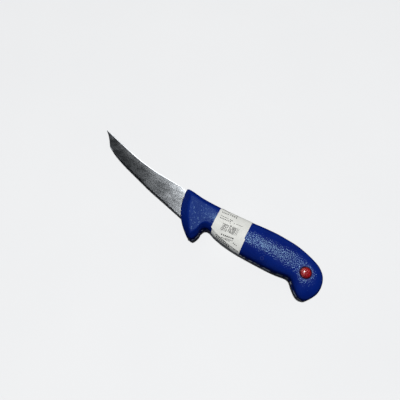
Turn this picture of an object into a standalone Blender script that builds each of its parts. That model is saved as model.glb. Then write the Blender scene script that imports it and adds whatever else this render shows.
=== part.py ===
"""A curved boning knife lying on its side.

A ground steel blade runs back as a hidden tang. The handle is one moulding round that
tang, with a guard, a finger notch and a hooked butt. A domed button sits in the side of
the butt, and a paper band is wrapped round the grip.

X runs along the knife from the tip to the butt, +Y is the side of the blade's back, and
+Z is up. Everything is drawn from the root, the middle of the line where the blade
leaves the handle, and the blade's middle plane is the plane of symmetry.
"""
import math

import bmesh
import bpy
import numpy as np

MM = 0.001

# Gap left between pieces that touch on the real knife
CLEARANCE = 0.3 * MM

# Blade and tang
BLADE_LENGTH = 124.5 * MM     # root to tip
BLADE_STOCK = 2.4 * MM        # thickness of the steel before it is ground
GRIND_TAPER = 0.0328          # half thickness lost for each unit of depth below the back
TIP_TAPER = 0.009             # half thickness lost for each unit of length towards the tip
HEEL_BACK = 14.8 * MM         # height of the back above the axis, at the root
EDGE_BEVEL = 1.0 * MM         # width of the sharpened strip along the edge
BACK_CHAMFER = 0.8 * MM       # slopes that break the two corners of the back
BACK_FLAT_SHARE = 0.3         # least of the thickness that they leave flat
TANG_END = 108 * MM           # root to the end of the tang
TANG_HEIGHT = 14 * MM
TANG_CORNER = 3.5 * MM        # radius of the tang's end corners
TANG_HOLE_RADIUS = 3.2 * MM
TANG_HOLE_FIRST = 32 * MM     # root to the first hole
TANG_HOLE_PITCH = 30 * MM
TANG_HOLES = 3
THIN_SHARE = 0.3              # most of a section that the bevel or the chamfer may take up

# Handle
HANDLE_LENGTH = 161.3 * MM    # front of the lip to the butt
HANDLE_FRONT = 5.8 * MM       # how far the lip's upper end reaches in front of the root
HANDLE_THICKNESS = 23 * MM
GUARD_DROP = 29.0 * MM        # lowest point of the guard, below the axis
HOOK_DROP = 26.4 * MM         # lowest point of the butt's hook, below the axis
FRONT_LIP = 2.8 * MM          # half thickness of the handle where the blade leaves it
EDGE_WALL = 5.5 * MM          # height of the guard's upright rim above the middle plane
SIDE_BEVEL = 5.0 * MM         # width of the slope from that rim up to the flat side
RIM_SHARE = 0.9               # most of the half thickness that the rim may take up
GRIP_ROUNDNESS = 2.3          # 2 is an ellipse, more is squarer
STATION_STEP = 3.6 * MM       # distance between the sections that are skinned

# Button in the butt
BUTTON_RADIUS = 5.7 * MM
BUTTON_BACK = 18.7 * MM       # its centre, forward of the butt
BUTTON_DROP = 3.4 * MM        # its centre, below the axis
BUTTON_DEPTH = 2.8 * MM       # how deep the button sits in its pocket
BUTTON_PROUD = 1.6 * MM       # how far the middle of its dome stands out of the handle
DOME_RADIUS = 20 * MM         # of the sphere that the dome is part of
BUTTON_EDGE = 0.45 * MM       # radius of the rounding between dome and wall

# Paper band round the grip
LABEL_START = 35.7 * MM       # root to its front edge, at the top of the grip
LABEL_WIDTH = 34.5 * MM
LABEL_SLANT = 3.3 * MM        # how much further back its edges are at the bottom
PAPER_THICKNESS = 0.25 * MM

# Outline of the blade from tip to root. Each row gives a line across the blade: how far
# towards the tip, as a share of the length, and how high, first at the back, then at the
# edge.
BLADE_ROWS = (
    (1.000, 32.5 * MM, 0.996, 31.9 * MM),
    (0.982, 32.1 * MM, 0.965, 29.1 * MM),
    (0.958, 31.5 * MM, 0.938, 26.0 * MM),
    (0.932, 30.8 * MM, 0.911, 22.5 * MM),
    (0.906, 30.1 * MM, 0.889, 19.2 * MM),
    (0.880, 29.3 * MM, 0.869, 16.5 * MM),
    (0.850, 28.4 * MM, 0.838, 14.4 * MM),
    (0.790, 26.5 * MM, 0.775, 11.3 * MM),
    (0.700, 23.8 * MM, 0.680, 7.5 * MM),
    (0.550, 19.8 * MM, 0.530, 2.5 * MM),
    (0.380, 17.0 * MM, 0.355, -3.2 * MM),
    (0.200, 15.8 * MM, 0.165, -8.2 * MM),
    (0.045, 14.5 * MM, -0.036, -13.6 * MM),
)

# The same from the root to the tang, inside the handle: distance behind the root, and
# height, at the back, then at the edge.
SHOULDER_ROWS = (
    (1.5 * MM, 13.4 * MM, 9.0 * MM, -14.6 * MM),
    (5.5 * MM, 10.8 * MM, 12.5 * MM, -12.7 * MM),
    (9.5 * MM, 8.2 * MM, 15.5 * MM, -9.4 * MM),
)

# Sections of the handle, front part: x and height of the section's top, x and height of
# its bottom, how far its middle bows forward, how much slimmer than the full half
# thickness it is, and how much of the guard's flat side it has (the rest is a rounded
# grip). The second row is the crease behind the front bevel.
GUARD_ROWS = (
    (-HANDLE_FRONT, 15.3 * MM, 20.9 * MM, -GUARD_DROP + 0.6 * MM, 6.6 * MM, 0.0, 1.0),
    (1.3 * MM, 15.9 * MM, 26.5 * MM, -GUARD_DROP + 0.8 * MM, 3.7 * MM, 0.0, 1.0),
    (7.0 * MM, 15.2 * MM, 28.2 * MM, -GUARD_DROP + 3.7 * MM, 2.0 * MM, 0.0, 1.0),
    (12.5 * MM, 14.6 * MM, 29.4 * MM, -GUARD_DROP + 7.6 * MM, 1.0 * MM, 0.0, 1.0),
    (18.0 * MM, 14.3 * MM, 29.4 * MM, -GUARD_DROP + 11.6 * MM, 0.4 * MM, 0.0, 1.0),
    (23.5 * MM, 14.3 * MM, 30.5 * MM, -13.8 * MM, 0.0, 0.2 * MM, 0.9),
    (29.0 * MM, 14.5 * MM, 32.8 * MM, -11.7 * MM, 0.0, 0.7 * MM, 0.7),
    (35.0 * MM, 14.9 * MM, 36.6 * MM, -11.5 * MM, 0.0, 1.1 * MM, 0.4),
    (42.0 * MM, 15.4 * MM, 42.5 * MM, -13.5 * MM, 0.0, 1.3 * MM, 0.1),
)

# Sections of the grip, between the guard's last row and the butt's first: share of the
# way from one to the other, height of the top and of the bottom, and how much slimmer.
GRIP_ROWS = (
    (0.23, 16.3 * MM, -16.0 * MM, 1.2 * MM),
    (0.50, 17.4 * MM, -17.2 * MM, 0.9 * MM),
    (0.756, 18.8 * MM, -17.2 * MM, 0.4 * MM),
)

# Sections of the handle, rear part, in the same columns, with x counted from the butt.
# The last row lies on the outline itself, where the two halves of the moulding meet.
BUTT_ROWS = (
    (-56.0 * MM, 19.4 * MM, -59.0 * MM, -16.9 * MM, 0.0, 0.0, 0.0),
    (-45.5 * MM, 18.9 * MM, -47.5 * MM, -16.4 * MM, 0.0, 0.2 * MM, 0.0),
    (-36.0 * MM, 17.8 * MM, -38.5 * MM, -15.3 * MM, 0.0, 0.5 * MM, 0.0),
    (-26.8 * MM, 15.7 * MM, -31.5 * MM, -14.2 * MM, 0.0, 0.9 * MM, 0.0),
    (-17.4 * MM, 12.9 * MM, -27.3 * MM, -15.3 * MM, 0.0, 1.2 * MM, 0.0),
    (-8.9 * MM, 9.1 * MM, -24.5 * MM, -HOOK_DROP + 8.4 * MM, 0.0, 1.5 * MM, 0.0),
    (-3.2 * MM, 3.6 * MM, -22.3 * MM, -HOOK_DROP + 6.2 * MM, 0.0, 1.7 * MM, 0.0),
    (-0.6 * MM, -2.7 * MM, -19.9 * MM, -HOOK_DROP + 4.1 * MM, 0.0, 1.9 * MM, 0.0),
    (0.0, -9.0 * MM, -17.7 * MM, -HOOK_DROP + 2.3 * MM, 0.0, 2.1 * MM, 0.0),
    (-1.1 * MM, -15.0 * MM, -15.5 * MM, -HOOK_DROP + 1.0 * MM, -0.3 * MM, 2.3 * MM, 0.0),
    (-3.3 * MM, -19.6 * MM, -13.3 * MM, -HOOK_DROP + 0.2 * MM, -0.8 * MM, 2.5 * MM, 0.0),
    (-5.6 * MM, -23.2 * MM, -10.5 * MM, -HOOK_DROP, -0.8 * MM, 2.5 * MM, 0.0),
)
BUTT_CAP_ROWS = 6             # the last spans, over which the butt rounds off to nothing

# Where a section's corners fall among its points, and the same corners' angles on the
# rounded grip, both from the bottom of the section over the side to its top
CORNER_STEPS = (0, 1, 4, 12, 15, 16)
CORNER_ANGLES = (0, 14, 48, 132, 166, 180)

FULL_HALF = HANDLE_THICKNESS / 2
BUTT_X = HANDLE_LENGTH - HANDLE_FRONT
MERGE = 0.001 * MM
CUT_SEGMENTS = 32
TURN_STEPS = 40
DOME_STEPS = 6
EDGE_STEPS = 4


def clear_scene():
    """Remove whatever the file holds already."""
    for old in list(bpy.data.objects):
        bpy.data.objects.remove(old, do_unlink=True)


def new_collection(name):
    collection = bpy.data.collections.new(name)
    bpy.context.scene.collection.children.link(collection)
    return collection


def new_material(name, colour, roughness, metallic=0.0, coat=0.0):
    material = bpy.data.materials.new(name)
    material.use_nodes = True
    shader = material.node_tree.nodes["Principled BSDF"]
    shader.inputs["Base Color"].default_value = (*colour, 1.0)
    shader.inputs["Roughness"].default_value = roughness
    shader.inputs["Metallic"].default_value = metallic
    shader.inputs["Coat Weight"].default_value = coat
    material.diffuse_color = (*colour, 1.0)
    return material


def new_object(name, mesh, collection, parent, material=None):
    item = bpy.data.objects.new(name, mesh)
    collection.objects.link(item)
    item.parent = parent
    if material:
        mesh.materials.append(material)
    return item


def new_cutter(name, mesh, collection, parent):
    cutter = new_object(name, mesh, collection, parent)
    cutter.hide_render = True
    cutter.display_type = "WIRE"
    return cutter


def smooth_rows(rows, step):
    """Rows read from a smooth curve through the given rows, about a step apart.

    Returns the rows and, for each, which span of the given rows it lies in.
    """
    rows = np.array(rows)
    middles = (rows[:, 0:2] + rows[:, 2:4]) / 2
    gaps = np.linalg.norm(np.diff(middles, axis=0), axis=1)
    knots = np.concatenate(([0.0], np.cumsum(gaps)))
    slopes = np.gradient(rows, knots, axis=0)
    result = []
    spans = []
    for span, gap in enumerate(gaps):
        count = max(2, math.ceil(gap / step))
        for part in np.arange(count) / count:
            near = (1 + 2 * part) * (1 - part) ** 2 * rows[span]
            near += part * (1 - part) ** 2 * gap * slopes[span]
            far = part ** 2 * (3 - 2 * part) * rows[span + 1]
            far += part ** 2 * (part - 1) * gap * slopes[span + 1]
            result.append(near + far)
            spans.append(span + part)
    result.append(rows[-1])
    spans.append(len(gaps))
    return np.array(result), np.array(spans)


def skin(sections):
    """Open mesh of quads between neighbouring sections, with coincident points merged."""
    shape = bmesh.new()
    grid = [[shape.verts.new(point) for point in section] for section in sections]
    for near, far in zip(grid, grid[1:]):
        for k in range(len(near) - 1):
            shape.faces.new((near[k], near[k + 1], far[k + 1], far[k]))
    bmesh.ops.remove_doubles(shape, verts=shape.verts, dist=MERGE)
    bmesh.ops.dissolve_degenerate(shape, dist=MERGE, edges=shape.edges)
    mesh = bpy.data.meshes.new("skin")
    shape.to_mesh(mesh)
    shape.free()
    return mesh


def with_flat_ends(sections, front=True, back=True):
    """Add a copy of each end section pressed flat on the middle plane, to close it."""
    flat = np.array([1.0, 1.0, 0.0])
    closed = list(sections)
    if front:
        closed.insert(0, sections[0] * flat)
    if back:
        closed.append(sections[-1] * flat)
    return closed


def mirror_halves(item):
    """Make the lower half from the upper one, joined at the middle plane."""
    mirror = item.modifiers.new("lower_half", "MIRROR")
    mirror.use_axis = (False, False, True)
    mirror.use_mirror_merge = True
    mirror.merge_threshold = MERGE


def cut(item, cutter):
    boolean = item.modifiers.new(cutter.name, "BOOLEAN")
    boolean.operation = "DIFFERENCE"
    boolean.solver = "EXACT"
    boolean.object = cutter


def blade_rows():
    """Lines across the blade and tang, from the tip to the end of the tang.

    The last two columns are the share of the grind and of the sharpened bevel.
    """
    rows = [(-BLADE_LENGTH * back_share, back, -BLADE_LENGTH * edge_share, edge, 1.0, 1.0)
            for back_share, back, edge_share, edge in BLADE_ROWS]
    ground = (1.0, 0.5, 0.0)
    rows += [(*row, share, share) for row, share in zip(SHOULDER_ROWS, ground)]
    half = TANG_HEIGHT / 2
    straight = (SHOULDER_ROWS[-1][2] + TANG_CORNER, TANG_END / 2, TANG_END - TANG_CORNER)
    rows += [(x, half, x, -half, 0.0, 0.0) for x in straight]
    for angle in (math.pi / 4, math.pi / 2):
        x = TANG_END - TANG_CORNER * (1 - math.sin(angle))
        height = half - TANG_CORNER * (1 - math.cos(angle))
        rows.append((x, height, x, -height, 0.0, 0.0))
    return rows


def blade_sections(grow=0.0):
    """Upper halves of the blade's sections, from the edge to the back.

    With grow, every face moves out by that much and the edge is left square, which
    gives the hollow that the blade and tang sit in.
    """
    rows, _ = smooth_rows(blade_rows(), STATION_STEP)
    sections = []
    for back_x, back_y, edge_x, edge_y, ground, sharp in rows:
        back = np.array([back_x, back_y])
        edge = np.array([edge_x, edge_y])
        depth = np.linalg.norm(back - edge)
        across = (back - edge) / depth
        bevel = 0.0 if grow else min(EDGE_BEVEL * sharp, THIN_SHARE * depth)
        chamfer = min(BACK_CHAMFER, THIN_SHARE * depth)
        low = edge - grow * across
        high = back + grow * across
        places = np.array((low, low + bevel * across, high - chamfer * across, high, high))
        lost = GRIND_TAPER * (HEEL_BACK - places[:, 1]) - TIP_TAPER * places[:, 0]
        heights = BLADE_STOCK / 2 - ground * lost + grow
        heights[3] = max(heights[3] - chamfer, BACK_FLAT_SHARE * heights[3])
        heights[0] = heights[4] = 0.0
        sections.append(np.column_stack((places, heights)))
    return sections


def guard_profile(half_height, half_thickness):
    """Upright rim, slope, flat side, slope and rim, as distance across and height."""
    rim = min(EDGE_WALL, RIM_SHARE * half_thickness)
    slope = SIDE_BEVEL * (half_thickness - rim) / (FULL_HALF - EDGE_WALL)
    across = (-half_height, -half_height, slope - half_height,
              half_height - slope, half_height, half_height)
    up = (0.0, rim, half_thickness, half_thickness, rim, 0.0)
    steps = np.arange(CORNER_STEPS[-1] + 1)
    return np.interp(steps, CORNER_STEPS, across), np.interp(steps, CORNER_STEPS, up)


def grip_profile(half_height, half_thickness):
    """Rounded side of the grip, as distance across and height."""
    steps = np.arange(CORNER_STEPS[-1] + 1)
    angles = np.radians(np.interp(steps, CORNER_STEPS, CORNER_ANGLES))
    power = 2 / GRIP_ROUNDNESS
    across = -np.sign(np.cos(angles)) * np.abs(np.cos(angles)) ** power * half_height
    up = np.abs(np.sin(angles)) ** power * half_thickness
    up[0] = up[-1] = 0.0
    return across, up


def handle_rows():
    """Rows of guard, grip and butt, all counted from the root."""
    butt = [(BUTT_X + top_x, top_y, BUTT_X + low_x, low_y, bow, slim, flat)
            for top_x, top_y, low_x, low_y, bow, slim, flat in BUTT_ROWS]
    front, rear = GUARD_ROWS[-1], butt[0]
    grip = []
    for share, top_y, low_y, slim in GRIP_ROWS:
        top_x = front[0] + share * (rear[0] - front[0])
        low_x = front[2] + share * (rear[2] - front[2])
        grip.append((top_x, top_y, low_x, low_y, 0.0, slim, 0.0))
    return (*GUARD_ROWS, *grip, *butt)


def handle_sections(grow=0.0):
    """Upper halves of the handle's sections, from its bottom over the side to its top."""
    given = handle_rows()
    rows, spans = smooth_rows(given, STATION_STEP)
    rows[:, 5] = np.maximum(rows[:, 5], 0.0)
    rows[:, 6] = np.clip(rows[:, 6], 0.0, 1.0)
    cap_start = len(given) - 1 - BUTT_CAP_ROWS
    sections = []
    for (top_x, top_y, low_x, low_y, bow, slim, flat), span in zip(rows, spans):
        top = np.array([top_x, top_y])
        low = np.array([low_x, low_y])
        half_height = np.linalg.norm(top - low) / 2
        along = (top - low) / (2 * half_height)
        forward = np.array([-along[1], along[0]])
        cap = max(0.0, (span - cap_start) / BUTT_CAP_ROWS)
        half_thickness = (FULL_HALF - slim) * math.sqrt(max(0.0, 1 - cap ** 2))
        half_thickness = FRONT_LIP + (half_thickness - FRONT_LIP) * min(1.0, span)
        half_height += grow
        half_thickness += grow
        guard = guard_profile(half_height, half_thickness)
        grip = grip_profile(half_height, half_thickness)
        across = flat * guard[0] + (1 - flat) * grip[0]
        up = flat * guard[1] + (1 - flat) * grip[1]
        bulge = bow * (1 - (across / half_height) ** 2)
        places = (top + low) / 2 + np.outer(across, along) + np.outer(bulge, forward)
        sections.append(np.column_stack((places, up)))
    return sections


def make_blade(collection, cutters, frame, material):
    """Stamped and ground blade with its tang, drilled for the moulding to grip."""
    blade = new_object("blade", skin(with_flat_ends(blade_sections())), collection, frame,
                       material)
    mirror_halves(blade)
    for number in range(TANG_HOLES):
        drill = tang_pin("tang_drill", number, TANG_HOLE_RADIUS, cutters, frame)
        cut(blade, drill)
    return blade


def tang_pin(name, number, radius, cutters, frame):
    """Round cutter through one of the tang's holes."""
    shape = bmesh.new()
    bmesh.ops.create_cone(shape, cap_ends=True, segments=CUT_SEGMENTS, radius1=radius,
                          radius2=radius, depth=3 * BLADE_STOCK)
    mesh = bpy.data.meshes.new(f"{name}_{number + 1}")
    shape.to_mesh(mesh)
    shape.free()
    pin = new_cutter(mesh.name, mesh, cutters, frame)
    pin.location.x = TANG_HOLE_FIRST + number * TANG_HOLE_PITCH
    return pin


def make_handle(collection, cutters, frame, material, button_seat):
    """One moulding round the tang: plastic also fills the tang's holes, as pegs."""
    handle = new_object("handle", skin(with_flat_ends(handle_sections(), back=False)),
                        collection, frame, material)
    mirror_halves(handle)
    hollow = new_cutter("tang_hollow", skin(with_flat_ends(blade_sections(CLEARANCE))),
                        cutters, frame)
    mirror_halves(hollow)
    for number in range(TANG_HOLES):
        peg = tang_pin("peg", number, TANG_HOLE_RADIUS - CLEARANCE, cutters, frame)
        cut(hollow, peg)
    cut(handle, hollow)
    cut(handle, button_pocket(cutters, frame, button_seat))
    return handle


def button_place():
    """Centre of the button on the surface of the handle's upper side."""
    centre = np.array([BUTT_X - BUTTON_BACK, -BUTTON_DROP])
    points = np.concatenate(handle_sections())
    nearest = np.argsort(np.linalg.norm(points[:, 0:2] - centre, axis=1))[:4]
    return centre[0], centre[1], points[nearest, 2].mean()


def button_pocket(cutters, frame, seat):
    """Blind round hole for the button, open to the upper side."""
    depth = BUTTON_DEPTH + CLEARANCE
    height = 2 * depth
    shape = bmesh.new()
    bmesh.ops.create_cone(shape, cap_ends=True, segments=2 * CUT_SEGMENTS,
                          radius1=BUTTON_RADIUS + CLEARANCE,
                          radius2=BUTTON_RADIUS + CLEARANCE, depth=height)
    mesh = bpy.data.meshes.new("button_pocket")
    shape.to_mesh(mesh)
    shape.free()
    pocket = new_cutter("button_pocket", mesh, cutters, frame)
    pocket.location = (seat[0], seat[1], seat[2] - depth + height / 2)
    return pocket


def make_button(collection, frame, material, seat):
    """Turned button with a shallow dome and a rounded edge, pressed into its pocket."""
    dome_end = BUTTON_RADIUS - BUTTON_EDGE
    centre = BUTTON_PROUD - DOME_RADIUS
    profile = [(radius, centre + math.sqrt(DOME_RADIUS ** 2 - radius ** 2))
               for radius in np.linspace(0, dome_end, DOME_STEPS)]
    edge_top = profile[-1][1]
    profile += [(dome_end + BUTTON_EDGE * math.sin(angle),
                 edge_top - BUTTON_EDGE * (1 - math.cos(angle)))
                for angle in np.linspace(0, math.pi / 2, EDGE_STEPS)[1:]]
    profile += [(BUTTON_RADIUS, -BUTTON_DEPTH), (0.0, -BUTTON_DEPTH)]
    mesh = bpy.data.meshes.new("button")
    points = [(x, 0.0, z) for x, z in profile]
    links = [(k, k + 1) for k in range(len(points) - 1)]
    mesh.from_pydata(points, links, [])
    button = new_object("button", mesh, collection, frame, material)
    button.location = seat
    turn = button.modifiers.new("turn", "SCREW")
    turn.steps = TURN_STEPS
    turn.render_steps = TURN_STEPS
    turn.use_merge_vertices = True
    turn.merge_threshold = MERGE
    turn.use_smooth_shade = True
    return button


def make_label(collection, frame, material):
    """Paper band round the grip, just clear of it."""
    lines = np.array(handle_sections(CLEARANCE)).transpose(1, 0, 2)
    heights = lines[:, :, 1].mean(axis=1)
    drop = (heights[-1] - heights) / (heights[-1] - heights[0])
    steps = math.ceil(2 * LABEL_WIDTH / STATION_STEP)
    sections = []
    for share in np.arange(steps + 1) / steps:
        section = []
        for line, slant in zip(lines, drop):
            x = LABEL_START + share * LABEL_WIDTH + slant * LABEL_SLANT
            forward = line[: np.argmax(line[:, 0])]
            section.append((x, np.interp(x, forward[:, 0], forward[:, 1]),
                            np.interp(x, forward[:, 0], forward[:, 2])))
        sections.append(np.array(section))
    label = new_object("paper_label", skin(sections), collection, frame, material)
    mirror_halves(label)
    paper = label.modifiers.new("paper", "SOLIDIFY")
    paper.thickness = PAPER_THICKNESS
    paper.offset = 1.0
    return label


def stand_on_origin(frame, parts):
    """Move the frame so that the knife's box stands centred on the world's origin."""
    bpy.context.view_layer.update()
    graph = bpy.context.evaluated_depsgraph_get()
    corners = []
    for part in parts:
        ready = part.evaluated_get(graph)
        mesh = ready.to_mesh()
        corners += [ready.matrix_world @ vertex.co for vertex in mesh.vertices]
        ready.to_mesh_clear()
    corners = np.array(corners)
    low = corners.min(axis=0)
    high = corners.max(axis=0)
    frame.location = (-(low[0] + high[0]) / 2, -(low[1] + high[1]) / 2, -low[2])


def smooth_shading(parts):
    for part in parts:
        part.data.shade_smooth()
        part.data.set_sharp_from_angle(angle=math.radians(30))


def build_knife():
    clear_scene()
    collection = new_collection("boning_knife")
    cutters = new_collection("cutters")
    frame = bpy.data.objects.new("knife_frame", None)
    collection.objects.link(frame)

    steel = new_material("satin_steel", (0.56, 0.57, 0.58), 0.33, metallic=1.0)
    plastic = new_material("blue_plastic", (0.012, 0.055, 0.32), 0.45)
    red = new_material("red_plastic", (0.55, 0.02, 0.03), 0.2, coat=0.5)
    paper = new_material("paper", (0.82, 0.82, 0.79), 0.7)

    seat = button_place()
    parts = [
        make_blade(collection, cutters, frame, steel),
        make_handle(collection, cutters, frame, plastic, seat),
        make_button(collection, frame, red, seat),
        make_label(collection, frame, paper),
    ]
    smooth_shading(parts)
    stand_on_origin(frame, parts)


build_knife()
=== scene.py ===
import functools
import math

import bmesh
import bpy
import numpy as np
from mathutils import Matrix, Vector


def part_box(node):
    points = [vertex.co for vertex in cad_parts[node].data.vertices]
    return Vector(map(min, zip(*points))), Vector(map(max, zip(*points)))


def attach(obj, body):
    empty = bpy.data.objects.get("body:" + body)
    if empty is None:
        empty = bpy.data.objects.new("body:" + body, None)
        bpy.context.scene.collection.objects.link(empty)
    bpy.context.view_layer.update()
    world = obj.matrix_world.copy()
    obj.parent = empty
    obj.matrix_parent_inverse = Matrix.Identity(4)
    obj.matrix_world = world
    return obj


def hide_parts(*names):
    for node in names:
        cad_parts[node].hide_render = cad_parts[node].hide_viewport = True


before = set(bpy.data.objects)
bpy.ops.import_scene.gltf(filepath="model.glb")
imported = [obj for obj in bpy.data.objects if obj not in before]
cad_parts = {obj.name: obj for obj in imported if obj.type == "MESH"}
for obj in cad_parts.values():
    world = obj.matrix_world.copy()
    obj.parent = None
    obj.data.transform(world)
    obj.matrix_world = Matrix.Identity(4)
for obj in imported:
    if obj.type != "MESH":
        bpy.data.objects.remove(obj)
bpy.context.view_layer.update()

# The view: a camera above the knife and a little below its edge, turned so that the tip
# points up and to the left. A picture 400 pixels wide, seen from 0.4 m.
CAMERA_PLACE = Vector((0.0928, -0.1007, 0.3908))
CAMERA_AIM = Vector((-0.0070, 0.0140, 0.0))   # point on the floor at the picture's centre
CAMERA_UP = math.radians(121.2)               # direction on the floor that stands upright
PICTURE_WIDTH = 400
FOCAL_PIXELS = 392.0
SENSOR_WIDTH = 36.0
CLIP_START = 0.01

camera_data = bpy.data.cameras.new("camera")
camera_data.sensor_width = SENSOR_WIDTH
camera_data.lens = SENSOR_WIDTH * FOCAL_PIXELS / PICTURE_WIDTH
camera_data.clip_start = CLIP_START
camera = bpy.data.objects.new("camera", camera_data)
bpy.context.scene.collection.objects.link(camera)
back = (CAMERA_PLACE - CAMERA_AIM).normalized()
right = Vector((math.cos(CAMERA_UP), math.sin(CAMERA_UP), 0.0)).cross(back).normalized()
camera.matrix_world = Matrix.Translation(CAMERA_PLACE) @ Matrix(
    (right, back.cross(right), back)).transposed().to_4x4()
bpy.context.scene.camera = camera
bpy.context.scene.view_settings.view_transform = "Standard"

# The light: a soft box overhead for handle and paper, a wide weak panel for the whole knife,
# lamps that only the blade, the button, the paper or the floor gets, and a dim room with a
# low glow on its walls. Where the camera looks past the floor, the room is pale.
WHITE = (1.0, 1.0, 1.0)
WARM_WHITE = (1.0, 0.99, 0.97)
COOL_WHITE = (0.93, 0.96, 1.0)
PANEL_WHITE = (0.95, 0.98, 1.0)
# Direction from the knife, distance and size in metres, power in watts, and colour
LAMPS = {
    "key_light": ((-0.03, 0.24, 0.97), 1.1, 0.38, 9.0, WARM_WHITE),
    "fill_light": ((-0.10, -0.60, 0.70), 1.6, 1.2, 0.75, COOL_WHITE),
    "blade_lamp": ((-0.145, 0.33, 0.93), 1.1, 0.25, 2.05, WHITE),
    "button_lamp": ((-0.03, 0.24, 0.97), 1.1, 0.2, 9.0, WARM_WHITE),
    "back_lamp": ((-0.34, 0.87, 0.36), 1.0, 0.5, 1.3, WHITE),
    "paper_lamp": ((0.10, -0.93, 0.30), 1.2, 0.5, 2.4, WHITE),
    "blade_panel_1": ((0.62, 0.36, 0.70), 1.6, 1.3, 4.0, PANEL_WHITE),
    "blade_panel_2": ((0.70, -0.70, 0.35), 1.6, 1.3, 4.0, PANEL_WHITE),
    "blade_panel_3": ((-0.75, -0.60, 0.40), 1.6, 1.3, 4.0, PANEL_WHITE),
    "blade_panel_4": ((-0.65, 0.75, 0.20), 1.6, 1.3, 4.0, PANEL_WHITE),
    "floor_lamp": ((0.02, -0.04, 1.0), 5.0, 0.3, 336.0, WHITE),
}
KEY_DEPTH = 0.16                 # the soft box is shorter across the knife than along it
ROOM_COLOUR = (0.80, 0.86, 0.95, 1.0)
ROOM_LIGHT = 0.014               # of the dim room
WALL_LIGHT = 0.25                # of the glow on its walls
WALL_GLOW = (0.5, 0.3)           # heights of a direction between which the glow sets in
WALL_FOOT = (0.0, 0.05)          # and those between which it ends, just above the floor
BACKDROP_LIGHT = 0.8             # what a camera sees past the floor


def put(tree, target, inputs):
    """Set the inputs of a node, or link them to what is given."""
    for socket, value in inputs.items():
        if isinstance(value, bpy.types.NodeSocket):
            tree.links.new(value, target.inputs[socket])
        else:
            target.inputs[socket].default_value = value


def node(tree, kind, inputs=None, **settings):
    """Add a node with its settings and inputs."""
    made = tree.nodes.new(kind)
    for name, value in settings.items():
        setattr(made, name, value)
    put(tree, made, inputs or {})
    return made


def calc(tree, operation, *values, clamp=False):
    """Result of a sum, product or the like."""
    return node(tree, "ShaderNodeMath", dict(enumerate(values)), operation=operation,
                use_clamp=clamp).outputs[0]


def blend(tree, share, first, second):
    """Number between two numbers."""
    return node(tree, "ShaderNodeMix", {0: share, 2: first, 3: second}).outputs[0]


def ramp(tree, value, span, results=(0.0, 1.0), kind="LINEAR"):
    """Result that runs from the first to the second one while the value crosses a span."""
    return node(tree, "ShaderNodeMapRange", {
        "Value": value, "From Min": span[0], "From Max": span[1], "To Min": results[0],
        "To Max": results[1]}, interpolation_type=kind).outputs[0]


def soft_box(name, side, distance, size, power, colour):
    """Square lamp that faces the knife from one side."""
    lamp = bpy.data.lights.new(name, "AREA")
    lamp.size = size
    lamp.energy = power
    lamp.color = colour
    holder = bpy.data.objects.new(name, lamp)
    bpy.context.scene.collection.objects.link(holder)
    holder.location = Vector(side).normalized() * distance
    holder.rotation_euler = Vector(side).to_track_quat("Z", "Y").to_euler()
    return holder


lamps = {name: soft_box(name, *values) for name, values in LAMPS.items()}
lamps["key_light"].data.shape = "RECTANGLE"
lamps["key_light"].data.size_y = KEY_DEPTH
room = bpy.data.worlds.new("room")
room.use_nodes = True
tree = room.node_tree
towards = node(tree, "ShaderNodeTexCoord").outputs["Generated"]
height = node(tree, "ShaderNodeSeparateXYZ", {0: towards}).outputs[2]
walls = calc(tree, "MULTIPLY", ramp(tree, height, WALL_GLOW), ramp(tree, height, WALL_FOOT))
seen = node(tree, "ShaderNodeLightPath").outputs["Is Camera Ray"]
glow = blend(tree, seen, blend(tree, walls, ROOM_LIGHT, WALL_LIGHT), BACKDROP_LIGHT)
put(tree, tree.nodes["Background"], {"Color": ROOM_COLOUR, "Strength": glow})
bpy.context.scene.world = room

# The floor: a pale, faintly clouded matt sheet that the knife lies on, not part of the object.
# It has a lamp of its own, high above, so that the knife's shadow stays right under it.
FLOOR_REACH = 2.0
FLOOR_SQUARES = 8
FLOOR_TINT = (0.62, 0.624, 0.628, 1.0)
FLOOR_SHADE = (0.595, 0.60, 0.607, 1.0)
FLOOR_CLOUDS = 7.0               # a metre
FLOOR_ROUGH = 0.75


def new_material(name):
    """Empty node material, with its tree and its Principled shader."""
    made = bpy.data.materials.new(name)
    made.use_nodes = True
    return made, made.node_tree, made.node_tree.nodes["Principled BSDF"]


def on_piece(tree):
    """Where on its piece a point lies."""
    return node(tree, "ShaderNodeTexCoord").outputs["Object"]


def noise(tree, vector, scale, detail, **inputs):
    """Cloudy value, mostly near the middle between 0 and 1."""
    return node(tree, "ShaderNodeTexNoise", {"Vector": vector, "Scale": scale, "Detail": detail,
                                             **inputs}).outputs["Fac"]


def tinted(tree, share, first, second):
    """Colour between two colours."""
    return node(tree, "ShaderNodeMix", {0: share, 6: first, 7: second},
                data_type="RGBA").outputs[2]


def place(name, mesh, material):
    """New piece at the origin, with one material."""
    piece = bpy.data.objects.new(name, mesh)
    bpy.context.scene.collection.objects.link(piece)
    mesh.materials.clear()
    mesh.materials.append(material)
    return piece


def lights_only(lamp, item, lit=True):
    """Let a lamp light only the objects that it is given, or all but those."""
    linked = lamp.light_linking.receiver_collection or bpy.data.collections.new(lamp.name)
    linked.objects.link(item)
    linked.collection_objects[-1].light_linking.link_state = "INCLUDE" if lit else "EXCLUDE"
    lamp.light_linking.receiver_collection = linked


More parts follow.
